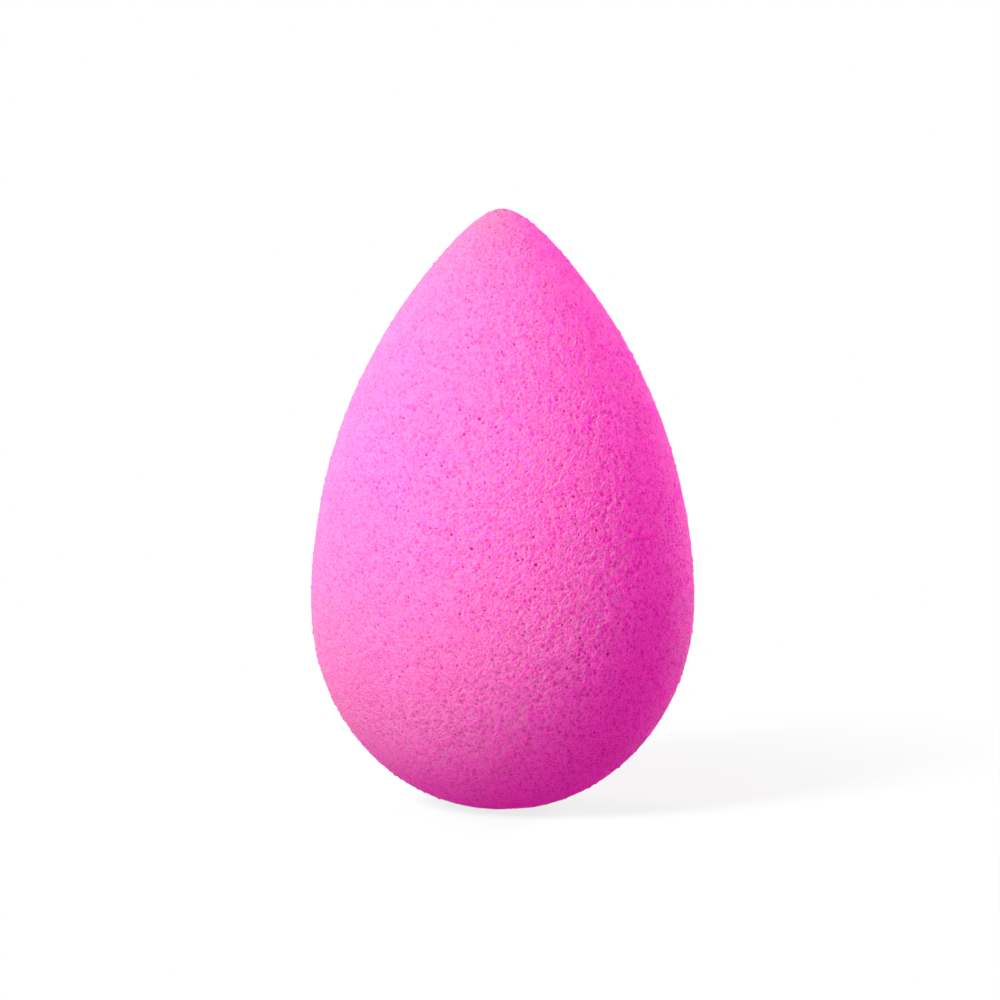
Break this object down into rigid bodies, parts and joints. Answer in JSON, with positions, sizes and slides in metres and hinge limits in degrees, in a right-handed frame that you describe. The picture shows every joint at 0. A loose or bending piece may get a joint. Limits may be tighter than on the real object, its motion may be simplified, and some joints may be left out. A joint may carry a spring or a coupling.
{
  "type": "makeup sponge",
  "caption": "Teardrop sponge of soft fine-celled pink foam, with a round base and a blunt tip, for dabbing and blending makeup by hand.",
  "frame": {"origin": "centre of the flat foot under the round base", "axes": "+Z along the teardrop's axis, from the foot to the tip; X and Y are alike"},
  "size_m": [0.0384, 0.0384, 0.06],
  "materials": {
    "foam": "matte"
  },
  "bodies": {
    "root": {"sponge_body": "foam"}
  },
  "joints": []
}
